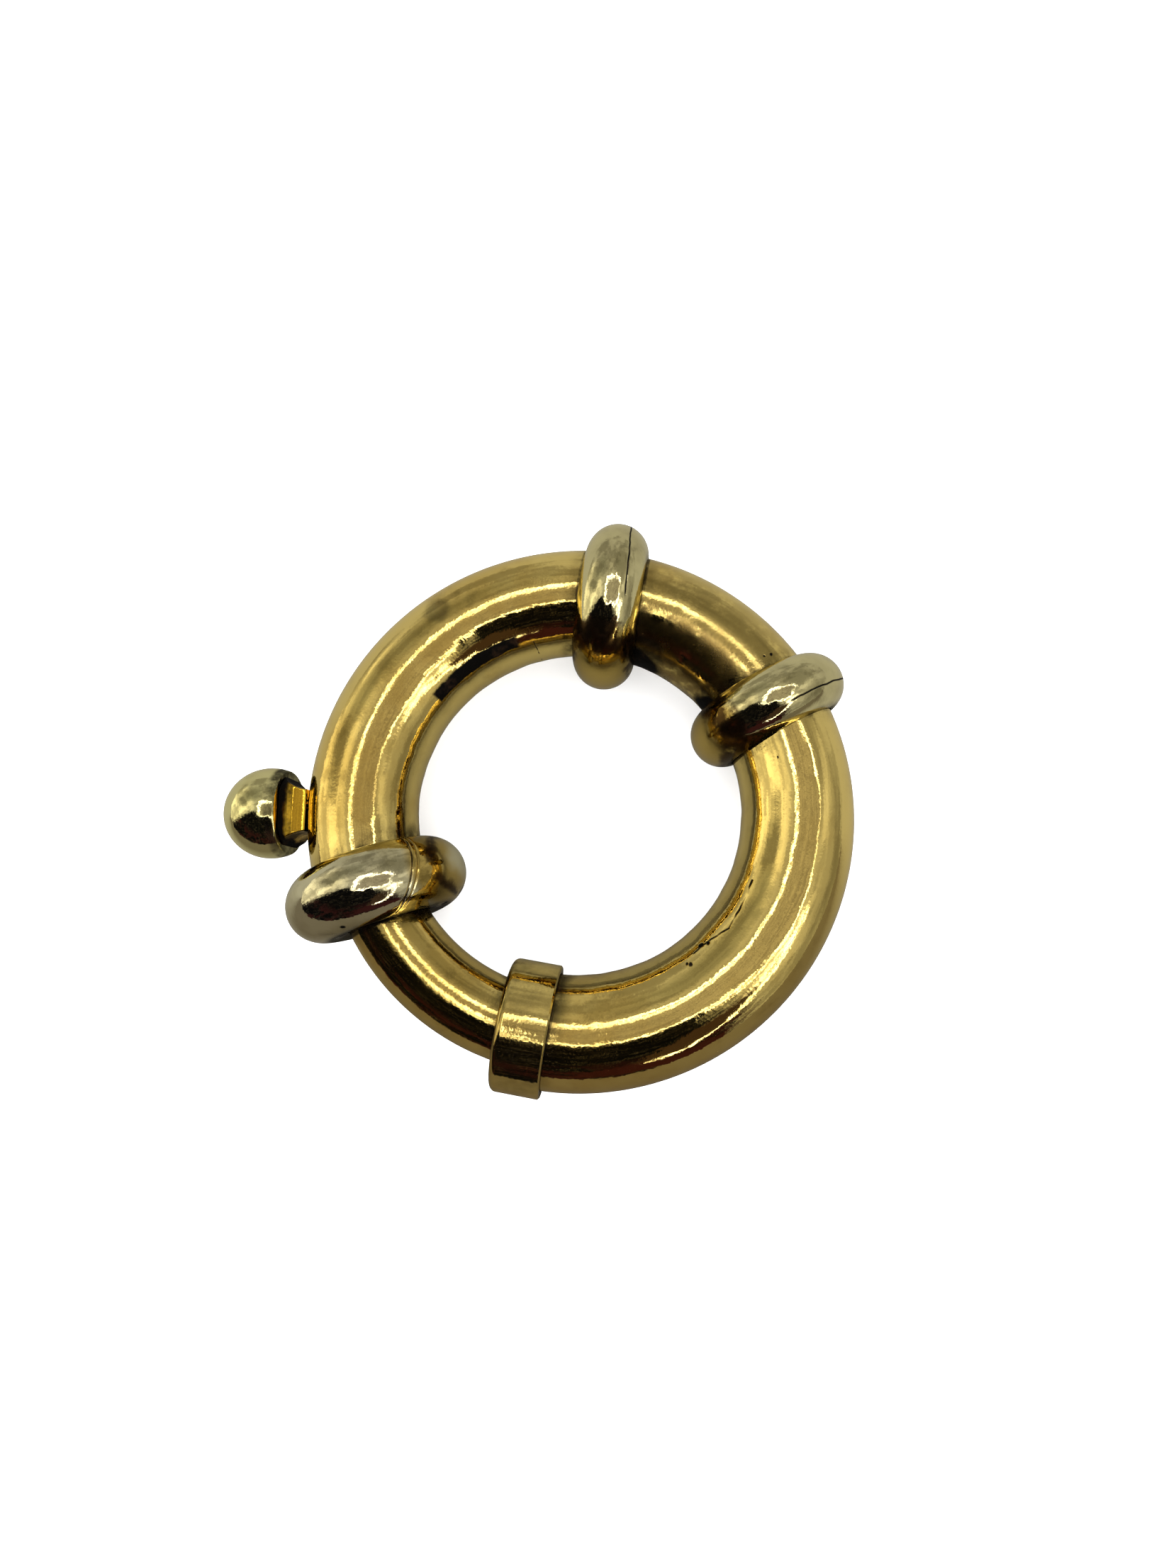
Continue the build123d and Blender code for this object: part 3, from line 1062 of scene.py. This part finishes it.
def darken_south(sheet, direction, haze, broken, walls):
    """A dark side with a broken edge, from just south of west round to the south east, reddish near the
    horizon."""
    east = sheet.along_axis(direction, (1.0, 0.0, 0.0))
    north = sheet.along_axis(direction, (0.0, 1.0, 0.0))
    height = sheet.along_axis(direction, upwards)
    edge = sheet.math("ARCTAN2", north, east) + (broken - 0.5) * 0.45
    dark_side = sheet.between(edge, radians(-174), radians(-164), radians(-54), radians(-42))
    dark_side = dark_side * sheet.rise(height + (broken - 0.5) * 0.10, 0.99, 0.93)
    reddish = sheet.rise(haze, 0.42, 0.58) * sheet.rise(height, 0.62, 0.30)
    dark = sheet.blend(sheet.rise(broken, 0.50, 0.74), (0.003, 0.003, 0.004, 1), (0.06, 0.052, 0.045, 1))
    dark = sheet.blend(reddish, dark, (0.035, 0.010, 0.012, 1))
    return sheet.blend(dark_side, walls, dark)


def frame_of_light(sheet, direction, sides, strip, soft):
    """A rounded frame on a level plane overhead, at a height of 1. Its west, east, south and north sides are
    places on the plane, and its strip's half width is a share of its size. Gives how bright the frame is,
    how far inside it a direction lies, and how far to its east side."""
    west, east, south, north = sides
    height = sheet.along_axis(direction, upwards)
    above = sheet.rise(height, 0.0, 0.05)
    lifted = sheet.larger(height, 0.03)
    across = sheet.along_axis(direction, (1.0, 0.0, 0.0)) / lifted
    along = sheet.along_axis(direction, (0.0, 1.0, 0.0)) / lifted
    aside = (across - (west + east) / 2) * (2 / (east - west))
    forth = (along - (south + north) / 2) * (2 / (north - south))
    aside_squared, forth_squared = aside * aside, forth * forth
    distance = (aside_squared * aside_squared + forth_squared * forth_squared) ** 0.25
    lit = sheet.rise(abs(distance - 1.0), strip + soft, strip - soft) * above
    inside = sheet.rise(distance, 1.0 - strip + soft, 1.0 - strip - soft) * above
    return lit, inside, aside


def hang_lights(sheet, direction, broken, walls):
    """Two frames of light: one overhead, whose inside is grey, and one to the south east, whose inside is
    dark and whose west strip is left out."""
    overhead_sides = (-0.176, 0.70, -0.306, 0.364)
    window_sides = (0.36, 1.17, -2.6, -0.5)
    overhead, overhead_inside = frame_of_light(sheet, direction, overhead_sides, strip=0.12, soft=0.07)[:2]
    window, window_inside, eastward = frame_of_light(sheet, direction, window_sides, strip=0.22, soft=0.12)
    window = window * sheet.rise(eastward, -0.3, 0.3)
    grey = sheet.blend(sheet.rise(broken, 0.35, 0.65), (0.28, 0.25, 0.21, 1), (0.48, 0.437, 0.365, 1))
    lit = sheet.blend(sheet.rise(broken, 0.40, 0.56), (0.7, 0.63, 0.52, 1), (4.4, 4.3, 4.1, 1))
    walls = sheet.blend(overhead_inside, walls, grey)
    walls = sheet.blend(window_inside, walls, (0.05, 0.03, 0.02, 1))
    return sheet.blend(sheet.larger(overhead, window), walls, lit)


def make_studio():
    """The light, by direction: an even pale dome for the camera, the floor and the crust, and for the gold's
    reflections uneven walls, a dark side and two frames of light."""
    world = bpy.data.worlds.new("studio")
    bpy.context.scene.world = world
    world.use_nodes = True
    # The light depends on the kind of ray, so it is met only by rays that the surfaces send out
    world.cycles.sampling_method = "NONE"
    sheet = Sheet(world.node_tree)
    direction = sheet.node("ShaderNodeTexCoord", output="Generated")
    uneven = sheet.vector("NORMALIZE", sheet.stray(sheet.stray(direction, 3.5, 0.22), 14.0, 0.12))
    haze = sheet.noise(direction, 3.0, detail=3.0, roughness=0.6)
    broken = sheet.noise(direction, 19.0, detail=4.0, roughness=0.65)
    studio = pale_walls(sheet, uneven, haze)
    studio = darken_south(sheet, uneven, haze, broken, studio)
    studio = hang_lights(sheet, uneven, broken, studio)
    diffuse = sheet.node("ShaderNodeLightPath", output="Is Diffuse Ray")
    camera = sheet.node("ShaderNodeLightPath", output="Is Camera Ray")
    light = sheet.blend(sheet.larger(diffuse, camera), studio, (3.0, 3.0, 3.0, 1))
    shader = sheet.node("ShaderNodeBackground", None, {"Color": light, "Strength": 1.0})
    sheet.node("ShaderNodeOutputWorld", None, {"Surface": shader})


def make_camera():
    """The photograph's view: from above the ring, a little from its south side. The focal length is in
    pixels of the photograph, as its long side is."""
    long_side = 2212
    focal_length = 1150
    sensor = 36.0
    place = (1.646 * MM, -4.914 * MM, 32.76 * MM)
    tilt = radians(10.26)
    lean = radians(2.17)
    data = bpy.data.cameras.new("camera")
    data.sensor_fit = "AUTO"
    data.sensor_width = sensor
    data.lens = focal_length / long_side * sensor
    data.clip_start = 1 * MM
    data.clip_end = 10.0
    camera = bpy.data.objects.new("camera", data)
    bpy.context.collection.objects.link(camera)
    turned = Matrix.Rotation(tilt, 4, "X") @ Matrix.Rotation(lean, 4, "Y")
    camera.matrix_world = Matrix.Translation(place) @ turned
    bpy.context.scene.camera = camera


def build():
    """Makes the finishes, the pieces and the stage."""
    tube_gold = make_tube_gold()
    stop_gold = make_stop_gold()
    make_tube(tube_gold)
    make_bolt(tube_gold)
    make_ring("mouth_ring", mouth_band, make_mouth_gold(), seam_turns(), seam_sink, closes=True)
    make_ring("stop_ring_top", stop_top_band, stop_gold, full_turn)
    make_ring("stop_ring_side", stop_side_band, stop_gold, full_turn)
    make_collar(make_collar_gold())
    make_post(make_post_gold())
    make_ball(make_ball_gold())
    make_floor()
    make_studio()
    make_camera()
    bpy.context.scene.view_settings.view_transform = "Standard"


build()
